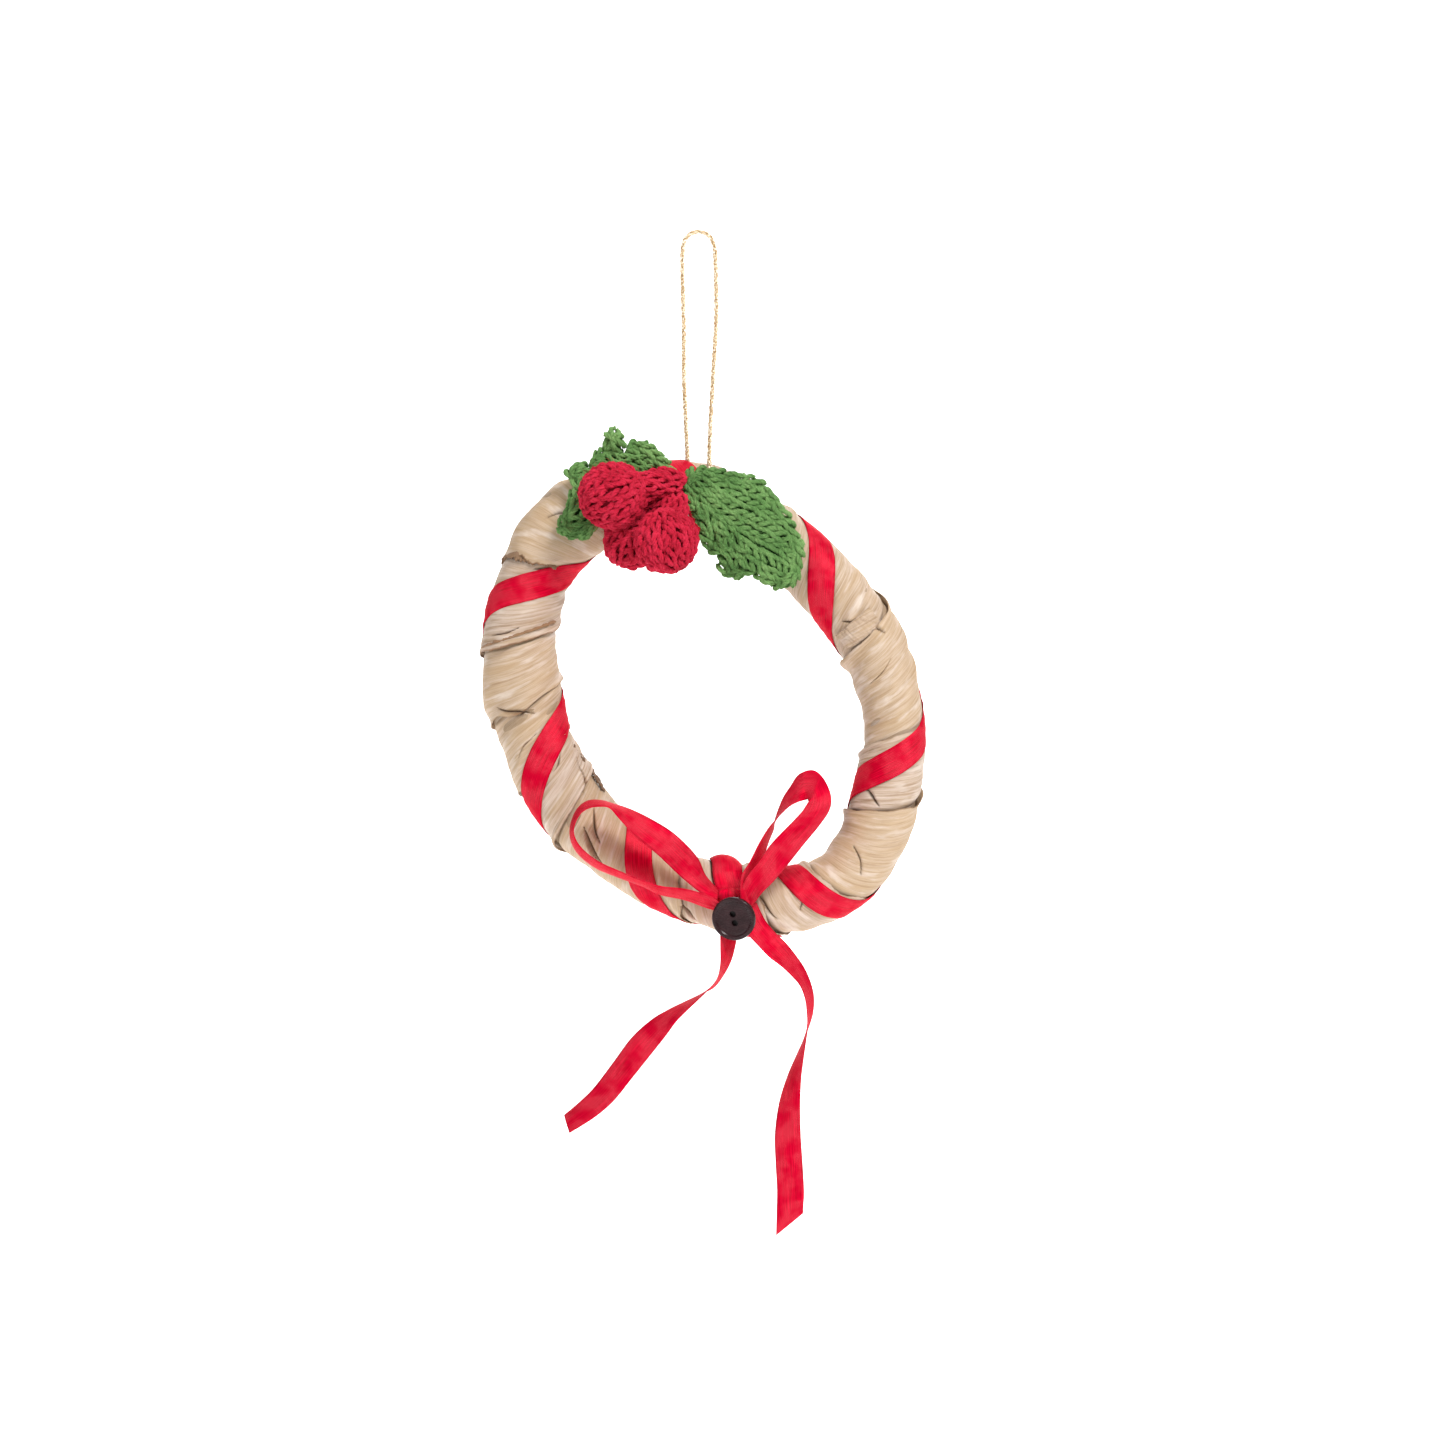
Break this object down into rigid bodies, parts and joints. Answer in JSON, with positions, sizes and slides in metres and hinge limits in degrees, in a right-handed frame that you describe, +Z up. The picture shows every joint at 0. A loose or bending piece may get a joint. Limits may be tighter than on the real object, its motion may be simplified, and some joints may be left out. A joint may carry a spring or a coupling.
{
  "type": "wreath ornament",
  "caption": "Small oval husk-wrapped straw wreath with a wound satin ribbon, crochet holly and berries, a buttoned ribbon bow with hanging tails, and a gold cord loop to hang it by.",
  "frame": {"origin": "inside top of the hanging cord's loop, where a hook or twig bears", "axes": "+Z up along the hanging cord; +X to the right seen from the front; the decorated front faces -Y"},
  "size_m": [0.1033, 0.0398, 0.2262],
  "materials": {
    "husk": "dry leaf, satin",
    "straw": "dry stalks, satin",
    "thread": "spun thread",
    "satin_ribbon": "woven satin",
    "leaf_yarn": "matt crochet cotton",
    "berry_yarn": "matt crochet cotton",
    "stuffing": "loose fibre",
    "gold_cord": "metallic thread",
    "button": "semi-gloss",
    "glue": "set hot glue"
  },
  "bodies": {
    "hanging_loop": {"hanging_cord": "gold_cord"},
    "wreath": {"straw_core": "straw", "core_binding": "thread", "husk_wrap_01": "husk", "husk_wrap_02": "husk", "husk_wrap_03": "husk", "husk_wrap_04": "husk", "husk_wrap_05": "husk", "husk_wrap_06": "husk", "husk_wrap_07": "husk", "husk_wrap_08": "husk", "husk_wrap_09": "husk", "husk_wrap_10": "husk", "husk_wrap_11": "husk", "husk_wrap_12": "husk", "husk_wrap_13": "husk", "ribbon_spiral": "satin_ribbon", "bow_tie_band": "satin_ribbon", "bow_knot": "satin_ribbon", "bow_loop_left": "satin_ribbon", "bow_loop_right": "satin_ribbon", "button": "button", "button_glue": "glue", "cord_hitch": "gold_cord", "cord_knot": "gold_cord", "holly_leaf_left": "leaf_yarn", "holly_leaf_right": "leaf_yarn", "holly_glue": "glue", "berry_upper": "berry_yarn", "berry_lower": "berry_yarn", "berry_rear": "berry_yarn", "berry_stem_upper": "berry_yarn", "berry_stem_lower": "berry_yarn", "berry_stem_rear": "berry_yarn", "berry_stuffing": "stuffing"},
    "tail_left": {"ribbon_tail_left": "satin_ribbon"},
    "tail_right": {"ribbon_tail_right": "satin_ribbon"}
  },
  "joints": [
    {"name": "wreath_swing", "type": "hinge", "parent": "hanging_loop", "child": "wreath", "pos_m": [0, 0, -0.0506], "axis": [1, 0, 0], "range_deg": [-90, 90]},
    {"name": "tail_left_swing", "type": "hinge", "parent": "wreath", "child": "tail_left", "pos_m": [0.0066, -0.0099, -0.1614], "axis": [1, 0, 0], "range_deg": [-80, 60]},
    {"name": "tail_right_swing", "type": "hinge", "parent": "wreath", "child": "tail_right", "pos_m": [0.0168, -0.0099, -0.1614], "axis": [1, 0, 0], "range_deg": [-80, 60]}
  ]
}
